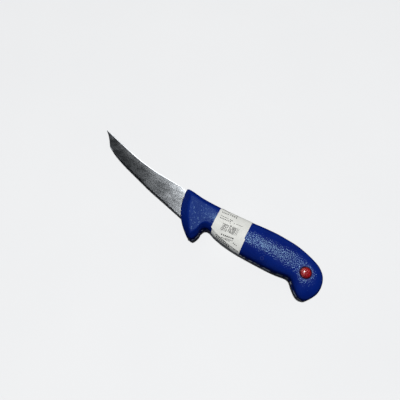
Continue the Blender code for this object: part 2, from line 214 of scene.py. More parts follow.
pale, tree, shader = new_material("pale_floor")
clouds = noise(tree, on_piece(tree), FLOOR_CLOUDS, 3.0)
put(tree, shader, {"Base Color": tinted(tree, clouds, FLOOR_TINT, FLOOR_SHADE),
                   "Roughness": FLOOR_ROUGH})
shape = bmesh.new()
bmesh.ops.create_grid(shape, x_segments=FLOOR_SQUARES, y_segments=FLOOR_SQUARES,
                      size=FLOOR_REACH)
floor_mesh = bpy.data.meshes.new("floor")
shape.to_mesh(floor_mesh)
shape.free()
floor = place("floor", floor_mesh, pale)
floor.visible_diffuse = False          # its light doesn't wash out the shaded plastic,
floor.visible_glossy = False           # and it doesn't show in the sides as a pale rim
lights_only(lamps["floor_lamp"], floor)
lights_only(lamps["key_light"], floor, lit=False)
lights_only(lamps["fill_light"], floor, lit=False)

# The blade: stamped from sheet steel, ground thinner towards its edge and its tip, then
# sharpened, with slopes that break the back's corners. Its tang runs back inside the handle.
MM = 0.001
BLADE_LENGTH = 124.5 * MM      # root, where the blade leaves the handle, to tip
BLADE_STOCK = 2.4 * MM
GRIND_TAPER = 0.0328
TIP_TAPER = 0.009
HEEL_BACK = 14.8 * MM
TIP_HEIGHT = 32.5 * MM
EDGE_BEVEL = 1.0 * MM
BACK_CHAMFER = 0.6 * MM         # width of the slopes along the back
BACK_DROP = 0.3 * MM
ROUND_WIDTH = 6.0 * MM          # of the side along the back that is ground a little round
ROUND_DROP = 0.35 * MM
BELLY = 0.006                  # slope that the ground sides swell by, from back to edge
LEAST_LEFT = 0.2               # of a half thickness, wherever the back is rounded off
TANG_END = 108 * MM
TANG_HALF = 7 * MM
TANG_CORNER = 3.5 * MM
BLADE_STEP = 1.0 * MM          # distance between the lines across the blade
FACE_COLUMNS = 22              # points across the ground face
BACK_COLUMNS = 3               # points across the slope along the back
SMALL_DEPTH_SHARE = 0.3        # most of a narrow line that bevel or slope takes up
MERGE = 0.002 * MM
STEEL_COLOUR = (0.60, 0.63, 0.66, 1.0)
STEEL_DULL = (0.20, 0.215, 0.23, 1.0)
# paler steel of the back's slopes, a painted highlight along the back
STEEL_PAINTED_HIGHLIGHT = (0.72, 0.74, 0.76, 1.0)
STEEL_ROUGH = (0.29, 0.24)     # of the clean sides, and where they are marked
BRIGHT_ROUGH = 0.15            # of the bevel and the back's slopes
GRIND_LINES = 1400.0           # a metre; they run across the blade
GRIND_STRETCH = 0.06
GRIND_SHARE = 0.08             # of them in the tint, the rest being marks of handling
WIPED_STRETCH = 0.55           # the marks are wiped out long, and aslant
WIPED_ANGLE = math.radians(-20)
WIDE_MARKS = 14 * MM
SMALL_MARKS = 3.8 * MM
SMALL_SHARE = 0.45
MARKS_SPAN = (0.36, 0.66)      # of the cloudy value, over which a mark sets in
BLADE_SHARP = 12               # degrees from which an edge is left sharp

# Lines across the blade, tip to root: share of the length and height of the back, then
# of the edge. Then the shoulder, behind the root, in millimetres.
BLADE_LINES = (
    (1.000, 32.5, 0.996, 31.9), (0.982, 32.1, 0.965, 29.1), (0.958, 31.5, 0.938, 26.0),
    (0.932, 30.8, 0.911, 22.5), (0.906, 30.1, 0.889, 19.2), (0.880, 29.3, 0.869, 16.5),
    (0.850, 28.4, 0.838, 14.4), (0.790, 26.5, 0.775, 11.3), (0.700, 23.8, 0.680, 7.5),
    (0.550, 19.8, 0.530, 2.5), (0.380, 17.0, 0.355, -3.2), (0.200, 15.8, 0.165, -8.2),
    (0.045, 14.5, -0.036, -13.6),
)
SHOULDER_LINES = ((1.5, 13.4, 9.0, -14.6), (5.5, 10.8, 12.5, -12.7), (9.5, 8.2, 15.5, -9.4))

blade_low, blade_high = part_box("blade")
ROOT = Vector((blade_low.x + BLADE_LENGTH, blade_high.y - TIP_HEIGHT,
               (blade_low.z + blade_high.z) / 2))


def rows_at(rows, spans):
    """Rows read off one smooth curve through the given rows, at these spans."""
    rows = np.array(rows)
    middles = (rows[:, 0:2] + rows[:, 2:4]) / 2
    gaps = np.linalg.norm(np.diff(middles, axis=0), axis=1)
    slopes = np.gradient(rows, np.concatenate(([0.0], np.cumsum(gaps))), axis=0)
    first = np.clip(np.floor(spans).astype(int), 0, len(gaps) - 1)
    part = (spans - first)[:, None]
    gap = gaps[first][:, None]
    near = (1 + 2 * part) * (1 - part) ** 2 * rows[first]
    near += part * (1 - part) ** 2 * gap * slopes[first]
    far = part ** 2 * (3 - 2 * part) * rows[first + 1]
    far += part ** 2 * (part - 1) * gap * slopes[first + 1]
    return near + far


def even_spans(rows, step):
    """Spans about a step apart along the middle of the given rows."""
    rows = np.array(rows)
    gaps = np.linalg.norm(np.diff((rows[:, 0:2] + rows[:, 2:4]) / 2, axis=0), axis=1)
    counts = [max(2, math.ceil(gap / step)) for gap in gaps]
    inside = [first + np.arange(count) / count for first, count in enumerate(counts)]
    return np.concatenate((*inside, [len(gaps)]))


def sheet_mesh(name, grid, closed=False):
    """Mesh of quads through a grid of points; closed joins the last column to the first."""
    lines, columns = grid.shape[:2]
    steps = columns if closed else columns - 1
    faces = []
    for i in range(lines - 1):
        for k in range(steps):
            near, far = i * columns, (i + 1) * columns
            beside = (k + 1) % columns
            faces.append((near + k, near + beside, far + beside, far + k))
    mesh = bpy.data.meshes.new(name)
    mesh.from_pydata([tuple(point) for point in grid.reshape(-1, 3)], [], faces)
    return mesh


def tidy(mesh, sharp_degrees):
    """Merge doubles, turn the faces outwards and shade the mesh smooth up to an angle."""
    shape = bmesh.new()
    shape.from_mesh(mesh)
    bmesh.ops.remove_doubles(shape, verts=shape.verts, dist=MERGE)
    bmesh.ops.dissolve_degenerate(shape, dist=MERGE / 2, edges=shape.edges)
    bmesh.ops.recalc_face_normals(shape, faces=shape.faces)
    shape.to_mesh(mesh)
    shape.free()
    mesh.shade_smooth()
    mesh.set_sharp_from_angle(angle=math.radians(sharp_degrees))


def evaluated_mesh(item):
    """Plain mesh of an object with its modifiers applied."""
    graph = bpy.context.evaluated_depsgraph_get()
    return bpy.data.meshes.new_from_object(item.evaluated_get(graph))


def blade_outline():
    """Lines across blade and tang, in metres from the root, with the share of the grind."""
    lines = [(-BLADE_LENGTH * back_share, back * MM, -BLADE_LENGTH * edge_share, edge * MM, 1.0)
             for back_share, back, edge_share, edge in BLADE_LINES]
    ground = (1.0, 0.5, 0.0)
    lines += [(*(value * MM for value in line), share)
              for line, share in zip(SHOULDER_LINES, ground)]
    straight = (SHOULDER_LINES[-1][2] * MM + TANG_CORNER, TANG_END / 2, TANG_END - TANG_CORNER)
    lines += [(x, TANG_HALF, x, -TANG_HALF, 0.0) for x in straight]
    for angle in (math.pi / 4, math.pi / 2):
        x = TANG_END - TANG_CORNER * (1 - math.sin(angle))
        height = TANG_HALF - TANG_CORNER * (1 - math.cos(angle))
        lines.append((x, height, x, -height, 0.0))
    return lines


def flat_blade():
    """The blade's outline as a flat grid, with what the grind needs kept on its points."""
    outline = blade_outline()
    rows = rows_at(outline, even_spans(outline, BLADE_STEP))
    back, edge = rows[:, 0:2], rows[:, 2:4]
    depth = np.linalg.norm(back - edge, axis=1)[:, None]
    bevel = np.minimum(EDGE_BEVEL, SMALL_DEPTH_SHARE * depth)
    slope = np.minimum(BACK_CHAMFER, SMALL_DEPTH_SHARE * depth)
    face = np.linspace(0, 1, FACE_COLUMNS)
    over = np.linspace(0, 1, BACK_COLUMNS)[1:]
    from_edge = np.hstack((0 * depth, 0 * depth, bevel / 2,
                           bevel + face * (depth - bevel - slope),
                           depth - slope + over * slope, depth))
    across = ((back - edge) / depth)[:, None, :]
    grid = np.zeros((*from_edge.shape, 3))
    grid[:, :, 0:2] = edge[:, None, :] + from_edge[:, :, None] * across
    side = np.ones(from_edge.shape)
    side[:, 0] = side[:, -1] = 0.0
    ends = [0, *range(len(grid)), len(grid) - 1]
    grid, from_edge, side = grid[ends], from_edge[ends], side[ends]
    side[0] = side[-1] = 0.0
    mesh = sheet_mesh("flat_blade", grid)
    kept = {
        "from_edge": from_edge,
        "from_back": depth[ends] - from_edge,
        "ground": np.clip(rows[ends, 4:5], 0, 1) * np.ones(from_edge.shape),
        "side": side,
    }
    for name, values in kept.items():
        layer = mesh.attributes.new(name, "FLOAT", "POINT")
        layer.data.foreach_set("value", values.ravel())
    return mesh


def grind_tree():
    """Geometry Nodes that give a flat outline the thickness of a ground blade."""
    tree = bpy.data.node_groups.new("ground_blade", "GeometryNodeTree")
    sockets = {"Outline": "NodeSocketGeometry", "Stock": "NodeSocketFloat",
               "Grind Taper": "NodeSocketFloat", "Tip Taper": "NodeSocketFloat",
               "Heel Back": "NodeSocketFloat", "Edge Bevel": "NodeSocketFloat",
               "Back Chamfer": "NodeSocketFloat", "Back Drop": "NodeSocketFloat",
               "Round Width": "NodeSocketFloat", "Round Drop": "NodeSocketFloat",
               "Belly": "NodeSocketFloat", "Root": "NodeSocketVector",
               "Steel": "NodeSocketMaterial"}
    for name, kind in sockets.items():
        tree.interface.new_socket(name, in_out="INPUT", socket_type=kind)
    tree.interface.new_socket("Blade", in_out="OUTPUT", socket_type="NodeSocketGeometry")
    given = node(tree, "NodeGroupInput").outputs
    reckon = functools.partial(calc, tree)

    def kept(name):
        return node(tree, "GeometryNodeInputNamedAttribute", {"Name": name},
                    data_type="FLOAT").outputs["Attribute"]

    where = node(tree, "GeometryNodeInputPosition").outputs[0]
    where = node(tree, "ShaderNodeSeparateXYZ", {0: where}).outputs
    by_depth = reckon("MULTIPLY", reckon("SUBTRACT", given["Heel Back"], where[1]),
                      given["Grind Taper"])
    by_length = reckon("MULTIPLY", where[0], given["Tip Taper"])
    lost = reckon("MULTIPLY", reckon("SUBTRACT", by_depth, by_length), kept("ground"))
    body = reckon("SUBTRACT", reckon("MULTIPLY", given["Stock"], 0.5), lost)
    depth = reckon("ADD", kept("from_edge"), kept("from_back"))
    swell = reckon("DIVIDE", reckon("MULTIPLY", kept("from_edge"), kept("from_back")), depth)
    swell = reckon("MULTIPLY", reckon("MULTIPLY", swell, given["Belly"]), kept("ground"))
    body = reckon("ADD", body, swell)
    sharpened = reckon("DIVIDE", kept("from_edge"), given["Edge Bevel"], clamp=True)
    body = reckon("MULTIPLY", body, blend(tree, kept("ground"), 1.0, sharpened))
    near_back = reckon("DIVIDE", kept("from_back"), given["Back Chamfer"], clamp=True)
    drop = reckon("MULTIPLY", reckon("SUBTRACT", 1.0, near_back),
                  reckon("MULTIPLY", given["Back Drop"], kept("ground")))
    far_back = reckon("DIVIDE", kept("from_back"), given["Round Width"], clamp=True)
    rounded = reckon("SUBTRACT", 1.0, far_back)
    rounded = reckon("MULTIPLY", reckon("MULTIPLY", rounded, rounded), given["Round Drop"])
    drop = reckon("ADD", drop, reckon("MULTIPLY", rounded, kept("ground")))
    half = reckon("MAXIMUM", reckon("SUBTRACT", body, drop),
                  reckon("MULTIPLY", body, LEAST_LEFT))
    half = reckon("MULTIPLY", half, kept("side"))
    halves = node(tree, "GeometryNodeJoinGeometry")
    for sign in (1.0, -1.0):
        rise = reckon("MULTIPLY", half, sign)
        rise = node(tree, "ShaderNodeCombineXYZ", {2: rise}).outputs[0]
        raised = node(tree, "GeometryNodeSetPosition",
                      {"Geometry": given["Outline"], "Offset": rise})
        tree.links.new(raised.outputs[0], halves.inputs[0])
    joined = node(tree, "GeometryNodeMergeByDistance",
                  {"Geometry": halves.outputs[0], "Distance": MERGE})
    moved = node(tree, "GeometryNodeTransform",
                 {"Geometry": joined.outputs[0], "Translation": given["Root"]})
    real = node(tree, "GeometryNodeRealizeInstances", {"Geometry": moved.outputs[0]})
    steel = node(tree, "GeometryNodeSetMaterial",
                 {"Geometry": real.outputs[0], "Material": given["Steel"]})
    node(tree, "NodeGroupOutput", {0: steel.outputs[0]})
    return tree


def run_tree(name, mesh, tree, values):
    """Plain mesh that a Geometry Nodes tree makes, with the tree's inputs by name."""
    holder = bpy.data.objects.new(name, mesh)
    bpy.context.scene.collection.objects.link(holder)
    nodes = holder.modifiers.new(name, "NODES")
    nodes.node_group = tree
    for socket in tree.interface.items_tree:
        if socket.in_out == "INPUT" and socket.name in values:
            nodes[socket.identifier] = values[socket.name]
    made = evaluated_mesh(holder)
    bpy.data.objects.remove(holder)
    made.name = name
    return made


def smudge_group():
    """Shader group: soft marks of handling, as a mask from 0 to 1."""
    tree = bpy.data.node_groups.new("handling_marks", "ShaderNodeTree")
    tree.interface.new_socket("Vector", in_out="INPUT", socket_type="NodeSocketVector")
    tree.interface.new_socket("Size", in_out="INPUT", socket_type="NodeSocketFloat")
    tree.interface.new_socket("Mask", in_out="OUTPUT", socket_type="NodeSocketFloat")
    given = node(tree, "NodeGroupInput").outputs
    blots = noise(tree, given["Vector"], calc(tree, "DIVIDE", 1.0, given["Size"]), 3.0,
                  Roughness=0.5, Distortion=1.1)
    node(tree, "NodeGroupOutput", {0: ramp(tree, blots, MARKS_SPAN)})
    return tree


handling_marks = smudge_group()


def marks(tree, vector, size):
    """Mask of handling marks of one size, in metres."""
    return node(tree, "ShaderNodeGroup", {"Vector": vector, "Size": size},
                node_tree=handling_marks).outputs[0]


def attribute(tree, name):
    """Value that a piece keeps on its points."""
    return node(tree, "ShaderNodeAttribute", attribute_name=name).outputs["Fac"]


steel, tree, shader = new_material("satin_steel")
spot = on_piece(tree)
lines = node(tree, "ShaderNodeMapping", {"Vector": spot, "Scale": (1.0, GRIND_STRETCH, 1.0)})
lines = noise(tree, lines.outputs[0], GRIND_LINES, 2.0)
wiped = node(tree, "ShaderNodeMapping", {"Vector": spot, "Scale": (WIPED_STRETCH, 1.0, 1.0),
                                         "Rotation": (0.0, 0.0, WIPED_ANGLE)}).outputs[0]
blot = blend(tree, SMALL_SHARE, marks(tree, wiped, WIDE_MARKS), marks(tree, wiped, SMALL_MARKS))
blot = blend(tree, GRIND_SHARE, blot, lines)
near_back = calc(tree, "LESS_THAN", attribute(tree, "from_back"), BACK_CHAMFER)
near_edge = calc(tree, "LESS_THAN", attribute(tree, "from_edge"), EDGE_BEVEL)
colour = tinted(tree, blot, STEEL_COLOUR, STEEL_DULL)
polished = calc(tree, "MAXIMUM", near_back, near_edge)
rough = blend(tree, polished, ramp(tree, blot, (0.0, 1.0), STEEL_ROUGH), BRIGHT_ROUGH)
# The back's slopes get paler steel, a painted highlight along the back; they and the bevel are
# also polished smoother.
put(tree, shader, {"Base Color": tinted(tree, near_back, colour, STEEL_PAINTED_HIGHLIGHT),
                   "Roughness": rough, "Metallic": 1.0})

blade_mesh = run_tree("steel_blade", flat_blade(), grind_tree(), {
    "Stock": BLADE_STOCK, "Grind Taper": GRIND_TAPER, "Tip Taper": TIP_TAPER,
    "Heel Back": HEEL_BACK, "Edge Bevel": EDGE_BEVEL, "Back Chamfer": BACK_CHAMFER,
    "Back Drop": BACK_DROP, "Round Width": ROUND_WIDTH, "Round Drop": ROUND_DROP,
    "Belly": BELLY, "Root": ROOT, "Steel": steel})
tidy(blade_mesh, BLADE_SHARP)
blade = place("steel_blade", blade_mesh, steel)
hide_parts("blade")
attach(blade, "root")
lights_only(lamps["key_light"], blade, lit=False)
for name, lamp in lamps.items():
    if name.startswith(("blade_", "back_")):
        lights_only(lamp, blade)

# The handle: one moulding of grained blue plastic round the tang. A guard with flat sides and
# bevelled front narrows to a notch for the finger, then swells to a rounded grip with a hook
# at its end. The halves of its mould meet in a fine ridge, pale in spots: rubbed wear, and a
# painted highlight of the light that the ridge catches.
HANDLE_LENGTH = 161.3 * MM
HANDLE_FRONT = 5.8 * MM
HANDLE_THICKNESS = 23 * MM
GUARD_DROP = 29.0
HOOK_DROP = 26.4
FRONT_LIP = 2.8 * MM
EDGE_WALL = 5.5 * MM
SIDE_BEVEL = 5.0 * MM
RIM_SHARE = 0.9
GRIP_ROUNDNESS = 2.3
BUTT_ROUNDNESS = 3.4             # the butt is flatter round the button
BUTT_START = 50 * MM             # from its end, where it starts to flatten
BUTT_FULL = 30 * MM
HANDLE_STEP = 0.75 * MM
FINE = 3                        # points for each of the coarse section's steps
SOFTENING = 2                   # passes that round the creases over
FRONT_FACE_ROWS = 4
BUTT_CAP_ROWS = 6
CAP_STEPS = 40
CORNER_STEPS = (0, 1, 4, 12, 15, 16)
CORNER_ANGLES = (0, 14, 48, 132, 166, 180)
PLASTIC_BLUE = (0.0006, 0.017, 0.22, 1.0)
PLASTIC_DEEP = (0.0005, 0.0125, 0.185, 1.0)
# pale blue of rubbed plastic, also a painted highlight on the ridge and round the button
PALE_WEAR_AND_HIGHLIGHT = (0.55, 0.62, 0.74, 1.0)
PLASTIC_SHEEN = (0.45, 0.76, 1.0, 1.0)
PLASTIC_ROUGH = (0.52, 0.16)     # at the guard, and on the grip
PLASTIC_GLOSS = 0.25
PLASTIC_MARKS = 22 * MM
HAZE = 0.1                       # weight of a dull coat, on the grip alone
HAZE_ROUGH = 0.5
RIDGE_WIDTH = 0.3 * MM
RIDGE_RISE = 0.5 * MM
PALE_SPOT_SCALE = 260.0             # pale spots on a metre of the ridge, rubbed wear and painted highlight
PALE_SPOT_SPAN = (0.42, 0.58)
PEBBLE_SIZE = 1.4 * MM
PEBBLE_DEPTH = 0.39 * MM
FINE_GRAIN = 0.7                 # of that depth, at the guard
SPECK_SIZE = 1.7 * MM            # specks of another gloss
SPECK_SPAN = (0.60, 0.66)
SPECK_ROUGH = 0.26
GRAIN_START = 22 * MM            # behind the root, where the fine grain turns to pebbles
GRAIN_FULL = 46 * MM
PIN_MARK = Vector((80.0, -13.5, 20.5)) * MM     # where an ejector pin left a ring
PIN_RADIUS = 1.5 * MM
PIN_LINE = 0.25 * MM
PIN_PALENESS = 0.06
PAINTED_HALO_WIDTH = 3.0 * MM            # painted highlight: a pale halo round the button, over this width
PAINTED_HALO_PALENESS = 0.09
BUTTON_DEPTH = 2.8 * MM
BUTTON_PROUD = 1.6 * MM          # top of the button above the plastic round it
POCKET_GAP = 0.08 * MM
POCKET_FLARE = 0.2 * MM          # depth of the slanting mouth of the button's pocket
TURN_STEPS = 96
TURN_SHARP = 40
HANDLE_SHARP = 50

# Sections of the guard: top x and height, bottom x and height, bow and slimming, all in
# millimetres, and the share of the flat side. The grip's give their share of the way from
# the guard to the butt, the heights and the slimming, and the butt's count x from its end.
GUARD_SECTIONS = (
    (-5.8, 15.3, 20.9, -GUARD_DROP + 0.6, 6.6, 0.0, 1.0),
    (1.3, 15.9, 26.5, -GUARD_DROP + 0.8, 3.7, 0.0, 1.0),
    (7.0, 15.2, 28.2, -GUARD_DROP + 3.7, 2.0, 0.0, 1.0),
    (12.5, 14.6, 29.4, -GUARD_DROP + 7.6, 1.0, 0.0, 1.0),
    (18.0, 14.3, 29.4, -GUARD_DROP + 11.6, 0.4, 0.0, 1.0),
    (23.5, 14.3, 30.5, -13.8, 0.0, 0.2, 0.9),
    (29.0, 14.5, 32.8, -11.7, 0.0, 0.7, 0.7),
    (35.0, 14.9, 36.6, -11.5, 0.0, 1.1, 0.4),
    (42.0, 15.4, 42.5, -13.5, 0.0, 1.3, 0.1),
)
GRIP_SECTIONS = ((0.23, 16.3, -16.0, 1.2), (0.50, 17.4, -17.2, 0.9), (0.756, 18.8, -17.2, 0.4))
BUTT_SECTIONS = (
    (-56.0, 19.4, -59.0, -16.9, 0.0, 0.0, 0.0),
    (-45.5, 18.9, -47.5, -16.4, 0.0, 0.2, 0.0),
    (-36.0, 17.8, -38.5, -15.3, 0.0, 0.5, 0.0),
    (-26.8, 15.7, -31.5, -14.2, 0.0, 0.9, 0.0),
    (-17.4, 12.9, -27.3, -15.3, 0.0, 1.2, 0.0),
    (-8.9, 9.1, -24.5, -HOOK_DROP + 8.4, 0.0, 1.5, 0.0),
    (-3.2, 3.6, -22.3, -HOOK_DROP + 6.2, 0.0, 1.7, 0.0),
    (-0.6, -2.7, -19.9, -HOOK_DROP + 4.1, 0.0, 1.9, 0.0),
    (0.0, -9.0, -17.7, -HOOK_DROP + 2.3, 0.0, 2.1, 0.0),
    (-1.1, -15.0, -15.5, -HOOK_DROP + 1.0, -0.3, 2.3, 0.0),
    (-3.3, -19.6, -13.3, -HOOK_DROP + 0.2, -0.8, 2.5, 0.0),
    (-5.6, -23.2, -10.5, -HOOK_DROP, -0.8, 2.5, 0.0),
)
FULL_HALF = HANDLE_THICKNESS / 2
BUTT_X = HANDLE_LENGTH - HANDLE_FRONT


def guard_profile(half_height, half_thickness, steps):
    """Upright rim, slope, flat side, slope and rim, as distance across and height."""
    rim = min(EDGE_WALL, RIM_SHARE * half_thickness)
    slope = SIDE_BEVEL * (half_thickness - rim) / (FULL_HALF - EDGE_WALL)
    across = (-half_height, -half_height, slope - half_height,
              half_height - slope, half_height, half_height)
    up = (0.0, rim, half_thickness, half_thickness, rim, 0.0)
    return np.interp(steps, CORNER_STEPS, across), np.interp(steps, CORNER_STEPS, up)


def grip_profile(half_height, half_thickness, roundness, steps):
    """Rounded side of the grip, as distance across and height."""
    angles = np.radians(np.interp(steps, CORNER_STEPS, CORNER_ANGLES))
    power = 2 / roundness
    across = -np.sign(np.cos(angles)) * np.abs(np.cos(angles)) ** power * half_height
    up = np.abs(np.sin(angles)) ** power * half_thickness
    up[0] = up[-1] = 0.0
    return across, up


def handle_sections():
    """Grid of the handle's upper half: sections from the front, each from bottom to top."""
    scale = np.array((MM, MM, MM, MM, MM, MM, 1.0))
    guard = np.array(GUARD_SECTIONS) * scale
    butt = np.array(BUTT_SECTIONS) * scale
    butt[:, (0, 2)] += BUTT_X
    grip = []
    for share, top_y, low_y, slim in GRIP_SECTIONS:
        top_x, low_x = ((1 - share) * guard[-1] + share * butt[0])[[0, 2]]
        grip.append((top_x, top_y * MM, low_x, low_y * MM, 0.0, slim * MM, 0.0))
    given = np.vstack((guard, grip, butt))
    spans = even_spans(given, HANDLE_STEP)
    cap_start = len(given) - 1 - BUTT_CAP_ROWS
    turn = np.linspace(0, math.pi / 2, CAP_STEPS)
    spans = np.concatenate((spans[spans < cap_start], cap_start + BUTT_CAP_ROWS * np.sin(turn)))
    rows = rows_at(given, spans)
    rows[:, 5] = np.maximum(rows[:, 5], 0.0)
    rows[:, 6] = np.clip(rows[:, 6], 0.0, 1.0)
    steps = np.arange(FINE * CORNER_STEPS[-1] + 1) / FINE
    sections = []
    for (top_x, top_y, low_x, low_y, bow, slim, flat), span in zip(rows, spans):
        top = np.array((top_x, top_y))
        low = np.array((low_x, low_y))
        half_height = np.linalg.norm(top - low) / 2
        along = (top - low) / (2 * half_height)
        forward = np.array((-along[1], along[0]))
        cap = max(0.0, (span - cap_start) / BUTT_CAP_ROWS)
        half_thickness = (FULL_HALF - slim) * math.sqrt(max(0.0, 1 - cap ** 2))
        half_thickness = FRONT_LIP + (half_thickness - FRONT_LIP) * min(1.0, span)
        guard_side = guard_profile(half_height, half_thickness, steps)
        roundness = np.interp((top_x + low_x) / 2, (BUTT_X - BUTT_START, BUTT_X - BUTT_FULL),
                              (GRIP_ROUNDNESS, BUTT_ROUNDNESS))
        grip_side = grip_profile(half_height, half_thickness, roundness, steps)
        across = flat * guard_side[0] + (1 - flat) * grip_side[0]
        up = flat * guard_side[1] + (1 - flat) * grip_side[1]
        bulge = bow * (1 - (across / half_height) ** 2)
        places = (top + low) / 2 + np.outer(across, along) + np.outer(bulge, forward)
        sections.append(np.column_stack((places, up)))
    front = [sections[0] * np.array((1, 1, share))
             for share in np.arange(FRONT_FACE_ROWS) / FRONT_FACE_ROWS]
    return np.array((*front, *sections))


def softened(grid, passes):
    """The grid with its creases rounded over, its ends and middle plane kept in place."""
    mirror = np.array((1, 1, -1))
    for _ in range(passes):
        wide = np.concatenate((grid[:, 1:2] * mirror, grid, grid[:, -2:-1] * mirror), axis=1)
        grid = (wide[:, :-2] + 2 * grid + wide[:, 2:]) / 4
        between = (grid[:-2] + 2 * grid[1:-1] + grid[2:]) / 4
        grid = np.concatenate((grid[:1], between, grid[-1:]))
    return grid


def ridged(grid, width, rise):
    """The grid with a fine sharp ridge along the middle plane, all the way round."""
    middle = grid.mean(axis=1, keepdims=True) * np.array((1, 1, 0))
    ends = [grid]
    for edge, beside in ((0, 1), (-1, -2)):
        line, near = grid[:, edge], grid[:, beside]
        share = np.clip(width / np.maximum(near[:, 2], MERGE), 0, 0.5)[:, None]
        shoulder = line + share * (near - line)
        out = line - middle[:, 0]
        out /= np.maximum(np.linalg.norm(out, axis=1), MERGE)[:, None]
        ends.append((line + rise * out * np.minimum(near[:, 2:3] / width, 1), shoulder))
    (low, low_shoulder), (high, high_shoulder) = ends[1:]
    return np.concatenate((low[:, None], low_shoulder[:, None], grid[:, 1:-1],
                           high_shoulder[:, None], high[:, None]), axis=1)


HANDLE_GRID = softened(handle_sections(), SOFTENING)


def whole(grid):
    """Both halves of a grid: up one side and down the other, as closed rings."""
    other = grid[:, -2:0:-1] * np.array((1, 1, -1))
    return np.concatenate((grid, other), axis=1)


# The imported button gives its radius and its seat: the middle of its pocket's mouth.
button_low, button_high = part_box("button")
BUTTON_RADIUS = (button_high.x - button_low.x) / 2
BUTTON_SEAT = Vector(((button_low.x + button_high.x) / 2, (button_low.y + button_high.y) / 2,
                      button_high.z - BUTTON_PROUD))


def bump(tree, depth, height, strength=1.0, **inputs):
    """Normal of a surface with a fine relief."""
    return node(tree, "ShaderNodeBump", {"Strength": strength, "Distance": depth,
                                         "Height": height, **inputs}).outputs[0]


def distance(tree, first, second):
    """Distance between two points."""
    return node(tree, "ShaderNodeVectorMath", {0: first, 1: second},
                operation="DISTANCE").outputs["Value"]


plastic, tree, shader = new_material("blue_plastic")
spot = on_piece(tree)
where = node(tree, "ShaderNodeSeparateXYZ", {0: spot}).outputs
on_grip = ramp(tree, where[0], (ROOT.x + GRAIN_START, ROOT.x + GRAIN_FULL), kind="SMOOTHSTEP")
grain = calc(tree, "MULTIPLY", noise(tree, spot, 1 / PEBBLE_SIZE, 2.0),
             ramp(tree, on_grip, (0.0, 1.0), (FINE_GRAIN, 1.0)))
pin = calc(tree, "COMPARE", distance(tree, spot, PIN_MARK), PIN_RADIUS, PIN_LINE)
# Painted highlight: a pale halo round the button, fading out over its width.
painted_halo = ramp(tree, distance(tree, spot, BUTTON_SEAT), (BUTTON_RADIUS, BUTTON_RADIUS + PAINTED_HALO_WIDTH),
            (PAINTED_HALO_PALENESS, 0.0), kind="SMOOTHSTEP")
pin_ring_and_painted_halo = calc(tree, "MAXIMUM", calc(tree, "MULTIPLY", pin, PIN_PALENESS), painted_halo)
off_ridge = calc(tree, "ABSOLUTE", calc(tree, "SUBTRACT", where[2], ROOT.z))
ridge_wear_and_highlight = calc(tree, "MULTIPLY", ramp(tree, noise(tree, spot, PALE_SPOT_SCALE, 1.0), PALE_SPOT_SPAN),
              calc(tree, "LESS_THAN", off_ridge, RIDGE_WIDTH))
colour = tinted(tree, marks(tree, spot, PLASTIC_MARKS), PLASTIC_BLUE, PLASTIC_DEEP)
# Paler at the pin's ring, at rubbed spots of the ridge that also paint its highlight, and in the
# painted halo round the button.
for share in (pin_ring_and_painted_halo, ridge_wear_and_highlight):
    colour = tinted(tree, share, colour, PALE_WEAR_AND_HIGHLIGHT)
specks = ramp(tree, noise(tree, spot, 1 / SPECK_SIZE, 1.0), SPECK_SPAN)
rough = blend(tree, specks, ramp(tree, on_grip, (0.0, 1.0), PLASTIC_ROUGH), SPECK_ROUGH)
put(tree, shader, {
    "Base Color": colour, "Roughness": rough, "Normal": bump(tree, PEBBLE_DEPTH, grain),
    "Specular IOR Level": PLASTIC_GLOSS, "Specular Tint": PLASTIC_SHEEN,
    "Coat Weight": calc(tree, "MULTIPLY", on_grip, HAZE), "Coat Roughness": HAZE_ROUGH})


def turned(name, profile, centre):
    """Closed mesh of a profile of radius and height, turned round an upright line."""
    turn = np.linspace(0, 2 * math.pi, TURN_STEPS, endpoint=False)
    around = np.column_stack((np.cos(turn), np.sin(turn), 0 * turn))
    grid = np.array([radius * around + np.array((0, 0, height)) for radius, height in profile])
    mesh = sheet_mesh(name, grid + np.array(centre), closed=True)
    tidy(mesh, TURN_SHARP)
    return mesh


def cut_away(mesh, cutter_mesh):
    """The mesh with another closed mesh cut out of it."""
    item = bpy.data.objects.new("item", mesh)
    cutter = bpy.data.objects.new("cutter", cutter_mesh)
    for made in (item, cutter):
        bpy.context.scene.collection.objects.link(made)
    boolean = item.modifiers.new("cut", "BOOLEAN")
    boolean.operation = "DIFFERENCE"
    boolean.solver = "EXACT"
    boolean.object = cutter
    result = evaluated_mesh(item)
    for made in (item, cutter):
        bpy.data.objects.remove(made)
    return result


handle_mesh = sheet_mesh("blue_handle", whole(ridged(HANDLE_GRID, RIDGE_WIDTH, RIDGE_RISE)),
                         closed=True)
handle_mesh.transform(Matrix.Translation(ROOT))
tidy(handle_mesh, HANDLE_SHARP)
pocket_radius = BUTTON_RADIUS + POCKET_GAP
pocket = turned("pocket", (
    (0.0, 3 * BUTTON_DEPTH), (pocket_radius + BUTTON_DEPTH, 3 * BUTTON_DEPTH),
    (pocket_radius + BUTTON_DEPTH, BUTTON_DEPTH), (pocket_radius, -POCKET_FLARE),
    (pocket_radius, -BUTTON_DEPTH - POCKET_GAP), (0.0, -BUTTON_DEPTH - POCKET_GAP)),
    BUTTON_SEAT)
handle_mesh = cut_away(handle_mesh, pocket)
tidy(handle_mesh, HANDLE_SHARP)
handle = place("blue_handle", handle_mesh, plastic)
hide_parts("handle")
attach(handle, "root")

# The button: a turned insert of red plastic, pressed into its pocket in the butt. It has a
# shallow dome, a rounded rim and a fine grain that breaks up its highlight.
DOME_RADIUS = 16 * MM            # of the sphere that the dome is part of
BUTTON_RIM = 1.0 * MM           # radius of the rounded rim
DOME_STEPS = 14
RIM_STEPS = 6
RED = (0.43, 0.006, 0.012, 1.0)
RED_DEEP = (0.22, 0.003, 0.008, 1.0)
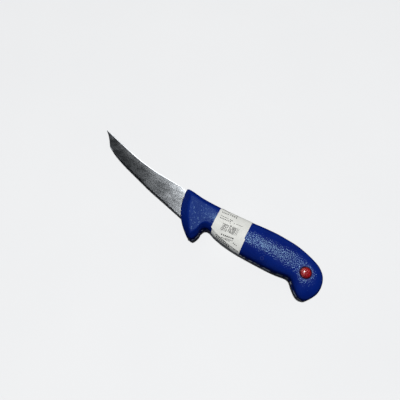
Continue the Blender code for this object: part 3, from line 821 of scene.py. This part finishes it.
# painted shade: the dark red that the button turns to at its rim
RED_PAINTED_SHADE = (0.04, 0.001, 0.008, 1.0)
RED_SHEEN = (1.0, 0.45, 0.45, 1.0)
RED_ROUGH = (0.22, 0.28)         # of the clean dome, and where it is marked
RED_GLOSS = 0.4
RED_MARKS = 4 * MM
COAT = 0.35                      # weight of a clear coat
COAT_ROUGH = 0.06
BUTTON_GRAIN = 1.0 * MM
BUTTON_RELIEF = 0.34 * MM


def button_profile():
    """Radius and height of dome, rim and wall, from the top of the dome down."""
    dome_end = BUTTON_RADIUS - BUTTON_RIM
    radii = np.linspace(0, dome_end, DOME_STEPS)
    heights = BUTTON_PROUD - DOME_RADIUS + np.sqrt(DOME_RADIUS ** 2 - radii ** 2)
    dome = list(zip(radii, heights))
    turn = np.linspace(0, math.pi / 2, RIM_STEPS)[1:]
    rim = list(zip(dome_end + BUTTON_RIM * np.sin(turn),
                   heights[-1] - BUTTON_RIM * (1 - np.cos(turn))))
    return (*dome, *rim, (BUTTON_RADIUS, -BUTTON_DEPTH), (0.0, -BUTTON_DEPTH))


red, tree, shader = new_material("red_plastic")
spot = on_piece(tree)
grain = noise(tree, spot, 1 / BUTTON_GRAIN, 2.0)
blot = marks(tree, spot, RED_MARKS)
# Painted shade: the red darkens towards the rim, where the dome turns away from the light.
rim = ramp(tree, distance(tree, spot, BUTTON_SEAT),
           (BUTTON_RADIUS - 2 * BUTTON_RIM, BUTTON_RADIUS - BUTTON_RIM / 3), kind="SMOOTHSTEP")
put(tree, shader, {
    "Base Color": tinted(tree, rim, tinted(tree, blot, RED, RED_DEEP), RED_PAINTED_SHADE),
    "Roughness": ramp(tree, blot, (0.0, 1.0), RED_ROUGH),
    "Normal": bump(tree, BUTTON_RELIEF, grain), "Specular IOR Level": RED_GLOSS,
    "Specular Tint": RED_SHEEN, "Coat Weight": COAT, "Coat Roughness": COAT_ROUGH})

button = place("red_button", turned("red_button", button_profile(), BUTTON_SEAT), red)
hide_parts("button")
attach(button, "root")
lights_only(lamps["button_lamp"], button)
lights_only(lamps["key_light"], button, lit=False)

# The label: a band of white paper glued round the grip, in one turn and a little more. Its
# outer end lies over its inner end low on the photographed side, and its edges slant,
# because the grip swells.
LABEL_FRONT = 35.5 * MM          # root to the front edge at the top of the grip
LABEL_WIDTH = 34.3 * MM
LABEL_SLANT = 3.5 * MM           # how much further back the band is at the bottom
LABEL_DRIFT = 1.3 * MM           # how much further back its inner end is
PAPER = 0.22 * MM
GLUE = 0.06 * MM
OUTER_END = 8.75                 # column of the handle's grid where the outer end lies
LAP = 13.0                       # columns by which it covers the inner end
LAP_STEP = 2.5                   # columns over which the paper comes down again
CURL = 0.55 * MM                 # how far the outer end stands off
CURL_REACH = 5.0                 # columns over which it does
ROWS_ACROSS = 48
COLUMN_STEP = 0.5
FAN_COLUMNS = (8.75, 20.0, 40.0, 60.0)
FAN = (-4.5, -1.0, 2.0, 0.0)     # columns that each line climbs from front to back
PAPER_WHITE = (0.90, 0.91, 0.88, 1.0)
PAPER_GREY = (0.81, 0.825, 0.795, 1.0)
PAPER_ROUGH = (0.55, 0.7)
PAPER_MARKS = 12 * MM
PAPER_SHARP = 50
FIBRES = 1600.0                  # a metre
FIBRE_STRETCH = 0.35
FIBRE_SHARE = 0.35               # of them in the tint, the rest being marks of handling
FIBRE_RELIEF = 0.03 * MM
FIBRE_STRENGTH = 0.5
CREASES = 90.0                   # a metre
CREASE_RELIEF = 0.25 * MM


def handle_surface(columns, x):
    """Points of the handle's skin at these columns and distances behind the root."""
    ring = whole(HANDLE_GRID)
    count = ring.shape[1]
    front = ring[:int(np.argmax(HANDLE_GRID[:, -1, 0]))]
    first = np.floor(columns).astype(int)
    points = np.zeros((*x.shape, 3))
    for index in np.ndindex(x.shape):
        share = columns[index] - first[index]
        near, far = front[:, first[index] % count], front[:, (first[index] + 1) % count]
        sides = [[np.interp(x[index], line[:, 0], line[:, axis]) for axis in (1, 2)]
                 for line in (near, far)]
        low, high = np.array(sides)
        points[index] = (x[index], *((1 - share) * low + share * high))
    return points


def paper_sheet():
    """Outer face of the band, with a UV map in metres along and across it."""
    turn = 2 * (HANDLE_GRID.shape[1] - 1)
    along = np.arange(OUTER_END, OUTER_END + turn + LAP, COLUMN_STEP)
    across = np.linspace(0, 1, ROWS_ACROSS)
    columns = along[:, None] + np.interp(along, FAN_COLUMNS, FAN)[:, None] * (across - 0.5)
    drop = np.abs((columns / turn * 2 + 1) % 2 - 1)
    drift = LABEL_DRIFT * ((along - along[0]) / (along[-1] - along[0]))[:, None]
    x = LABEL_FRONT + LABEL_SLANT * (1 - drop) + drift + LABEL_WIDTH * across
    skin = handle_surface(columns, x)
    down, back = np.gradient(skin, axis=(0, 1))
    outward = np.cross(back, down)
    outward /= np.linalg.norm(outward, axis=2, keepdims=True)
    outward *= np.sign((outward * (skin - skin.mean(axis=(0, 1)))).sum())
    lifted = np.clip((OUTER_END + LAP + LAP_STEP - along) / LAP_STEP, 0, 1)
    lifted = (lifted * lifted * (3 - 2 * lifted))[:, None, None]
    curl = np.clip(1 - (along - OUTER_END) / CURL_REACH, 0, 1)[:, None, None]
    sheet = skin + outward * (GLUE + PAPER * (1 + lifted) + CURL * curl ** 2)
    mesh = sheet_mesh("paper_sheet", sheet + np.array(ROOT))
    middle = sheet[:, ROWS_ACROSS // 2]
    lengths = np.linalg.norm(np.diff(middle, axis=0), axis=1)
    u = np.concatenate(([0.0], np.cumsum(lengths)))
    climb = np.gradient(u, along)[:, None] * (columns - along[:, None])
    flat = np.stack((u[:, None] + climb, 0 * climb + LABEL_WIDTH * across), axis=2)
    flat = flat.reshape(-1, 2)
    corners = np.array([loop.vertex_index for loop in mesh.loops])
    mesh.uv_layers.new(name="paper_uv").data.foreach_set("uv", flat[corners].ravel())
    return mesh


paper, tree, shader = new_material("label_paper")
flat = node(tree, "ShaderNodeUVMap", uv_map="paper_uv").outputs[0]
fibres = node(tree, "ShaderNodeMapping", {"Vector": flat, "Scale": (1.0, FIBRE_STRETCH, 1.0)})
fibres = noise(tree, fibres.outputs[0], FIBRES, 3.0)
creased = bump(tree, CREASE_RELIEF, noise(tree, flat, CREASES, 2.0, Distortion=0.4))
blot = marks(tree, flat, PAPER_MARKS)
put(tree, shader, {
    "Base Color": tinted(tree, blend(tree, FIBRE_SHARE, blot, fibres), PAPER_WHITE, PAPER_GREY),
    "Roughness": ramp(tree, blot, (0.0, 1.0), PAPER_ROUGH),
    "Normal": bump(tree, FIBRE_RELIEF, fibres, FIBRE_STRENGTH, Normal=creased)})

sheet = paper_sheet()
holder = bpy.data.objects.new("paper_holder", sheet)
bpy.context.scene.collection.objects.link(holder)
wall = holder.modifiers.new("wall", "SOLIDIFY")
wall.thickness = PAPER - GLUE / 2
wall.offset = -1.0
band_mesh = evaluated_mesh(holder)
bpy.data.objects.remove(holder)
tidy(band_mesh, PAPER_SHARP)
band = place("paper_band", band_mesh, paper)
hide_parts("paper_label")
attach(band, "root")
lights_only(lamps["paper_lamp"], band)

# The print: rows of plain short marks and two dense blocks of them, in grey ink on the
# band. Each mark is a thin plate that bends with the paper.
INK = (0.012, 0.0125, 0.013, 1.0)
INK_THIN = (0.07, 0.072, 0.075, 1.0)
INK_ROUGH = 0.6
INK_WEAR = 700.0                # thin spots on a metre
INK_HEIGHT = 0.03 * MM          # above the paper's face, and as much below it
MARK_BOLDNESS = 1.3
MARK_SHARE = 0.75               # of the room in its row that a mark takes up
MARK_STRETCH = (0.7, 1.1)       # shortest and longest mark, as a share of that
MARK_CORNERS = 4                # points along each side of a mark, so that it can bend

# Printed blocks, in millimetres on the band: middle along and across, rows and their
# distance, length of a row, marks in a row, height of a mark, share that is inked, and
# slope of the rows
PRINT_BLOCKS = (
    (30.4, 5.9, 1, 1.0, 7.5, 6, 0.9, 0.9, -0.15),
    (25.9, 7.0, 1, 1.0, 7.5, 6, 1.0, 0.9, 0.14),
    (27.3, 15.0, 1, 1.0, 6.6, 4, 1.2, 1.0, -0.03),
    (30.9, 17.7, 2, 0.8, 1.0, 2, 1.4, 1.0, 0.0),
    (21.2, 10.0, 1, 1.0, 12.5, 11, 0.7, 0.9, 0.075),
    (20.5, 23.0, 1, 1.0, 8.0, 7, 0.5, 0.8, 0.12),
    (18.9, 9.3, 1, 1.0, 10.5, 7, 0.85, 0.95, 0.155),
    (18.0, 15.4, 1, 1.0, 0.9, 2, 0.8, 1.0, 0.0),
    (11.0, 12.3, 9, 0.95, 5.6, 7, 0.7, 0.72, 0.2),
    (12.9, 20.1, 8, 0.95, 6.2, 8, 0.7, 0.75, 0.0),
    (13.6, 25.2, 6, 1.3, 1.3, 2, 0.7, 0.9, -0.1),
    (5.1, 18.5, 1, 1.0, 12.0, 7, 1.0, 1.0, 0.22),
    (3.4, 21.4, 1, 1.0, 6.2, 5, 0.6, 0.9, 0.24),
    (1.7, 18.2, 1, 1.0, 8.0, 7, 0.7, 0.9, 0.14),
    (2.5, 28.4, 1, 1.0, 3.4, 3, 0.7, 1.0, -0.15),
    (87.6, 11.2, 1, 1.0, 13.5, 10, 0.8, 0.9, -0.02),
    (85.8, 14.6, 1, 1.0, 14.6, 8, 1.1, 1.0, -0.05),
    (83.8, 14.5, 1, 1.0, 15.0, 9, 1.1, 0.95, 0.02),
    (81.9, 16.0, 1, 1.0, 14.0, 9, 0.8, 0.95, 0.02),
    (86.0, 29.8, 1, 1.0, 4.5, 4, 0.9, 1.0, 0.09),
)


def print_tree():
    """Geometry Nodes that print rows of random marks on the band, through its UV map."""
    tree = bpy.data.node_groups.new("printed_rows", "GeometryNodeTree")
    sockets = {"Paper": "NodeSocketGeometry", "Along": "NodeSocketFloat",
               "Across": "NodeSocketFloat", "Rows": "NodeSocketInt", "Depth": "NodeSocketFloat",
               "Length": "NodeSocketFloat", "Marks": "NodeSocketInt",
               "Mark Length": "NodeSocketFloat", "Mark Height": "NodeSocketFloat",
               "Inked": "NodeSocketFloat", "Slope": "NodeSocketFloat", "Seed": "NodeSocketInt",
               "Thickness": "NodeSocketFloat", "Ink": "NodeSocketMaterial"}
    for name, kind in sockets.items():
        tree.interface.new_socket(name, in_out="INPUT", socket_type=kind)
    tree.interface.new_socket("Print", in_out="OUTPUT", socket_type="NodeSocketGeometry")
    given = node(tree, "NodeGroupInput").outputs
    seat = node(tree, "GeometryNodeMeshGrid", {
        "Size X": given["Depth"], "Size Y": given["Length"], "Vertices X": given["Rows"],
        "Vertices Y": given["Marks"]}).outputs[0]
    inked = node(tree, "FunctionNodeRandomValue", {6: given["Inked"], 8: given["Seed"]},
                 data_type="BOOLEAN").outputs[3]
    stretch = node(tree, "FunctionNodeRandomValue", {
        2: MARK_STRETCH[0], 3: MARK_STRETCH[1], 8: given["Seed"]},
        data_type="FLOAT").outputs[1]
    size = node(tree, "ShaderNodeCombineXYZ", {
        0: given["Mark Height"], 1: calc(tree, "MULTIPLY", stretch, given["Mark Length"]),
        2: given["Thickness"]}).outputs[0]
    mark = node(tree, "GeometryNodeMeshCube", {
        "Size": (1.0, 1.0, 1.0), "Vertices X": MARK_CORNERS,
        "Vertices Y": MARK_CORNERS}).outputs[0]
    marked = node(tree, "GeometryNodeInstanceOnPoints", {
        "Points": seat, "Selection": inked, "Instance": mark, "Scale": size}).outputs[0]
    real = node(tree, "GeometryNodeRealizeInstances", {"Geometry": marked}).outputs[0]
    where = node(tree, "ShaderNodeSeparateXYZ",
                 {0: node(tree, "GeometryNodeInputPosition").outputs[0]}).outputs
    climb = calc(tree, "MULTIPLY_ADD", where[1], given["Slope"], given["Along"])
    spot = node(tree, "ShaderNodeCombineXYZ", {
        0: calc(tree, "ADD", where[0], climb),
        1: calc(tree, "ADD", where[1], given["Across"])}).outputs[0]
    source = node(tree, "GeometryNodeInputNamedAttribute", {"Name": "paper_uv"},
                  data_type="FLOAT_VECTOR").outputs["Attribute"]
    seats, normals = (
        node(tree, "GeometryNodeSampleUVSurface", {
            "Mesh": given["Paper"], "Value": node(tree, kind).outputs[0],
            "Source UV Map": source, "Sample UV": spot}, data_type="FLOAT_VECTOR").outputs[0]
        for kind in ("GeometryNodeInputPosition", "GeometryNodeInputNormal"))
    rise = node(tree, "ShaderNodeVectorMath", {0: normals, 3: where[2]},
                operation="SCALE").outputs[0]
    wrapped = node(tree, "GeometryNodeSetPosition", {
        "Geometry": real, "Position": seats, "Offset": rise})
    inky = node(tree, "GeometryNodeSetMaterial",
                {"Geometry": wrapped.outputs[0], "Material": given["Ink"]})
    node(tree, "NodeGroupOutput", {0: inky.outputs[0]})
    return tree


ink, tree, shader = new_material("grey_ink")
worn = noise(tree, on_piece(tree), INK_WEAR, 2.0)
put(tree, shader, {"Base Color": tinted(tree, worn, INK, INK_THIN), "Roughness": INK_ROUGH})

rows_of_marks = print_tree()
shape = bmesh.new()
for number, block in enumerate(PRINT_BLOCKS):
    along, across, rows, pitch, length, count, mark, share, slope = block
    printed = run_tree(f"print_{number}", sheet, rows_of_marks, {
        "Along": along * MM, "Across": across * MM, "Rows": rows, "Depth": (rows - 1) * pitch * MM,
        "Length": length * MM, "Marks": count, "Mark Length": MARK_SHARE * length / count * MM,
        "Mark Height": MARK_BOLDNESS * mark * MM, "Inked": share, "Slope": slope, "Seed": number,
        "Thickness": 2 * INK_HEIGHT, "Ink": ink})
    shape.from_mesh(printed)
    bpy.data.meshes.remove(printed)
bmesh.ops.recalc_face_normals(shape, faces=shape.faces)
print_mesh = bpy.data.meshes.new("label_print")
shape.to_mesh(print_mesh)
shape.free()
small_print = place("label_print", print_mesh, ink)
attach(small_print, "root")
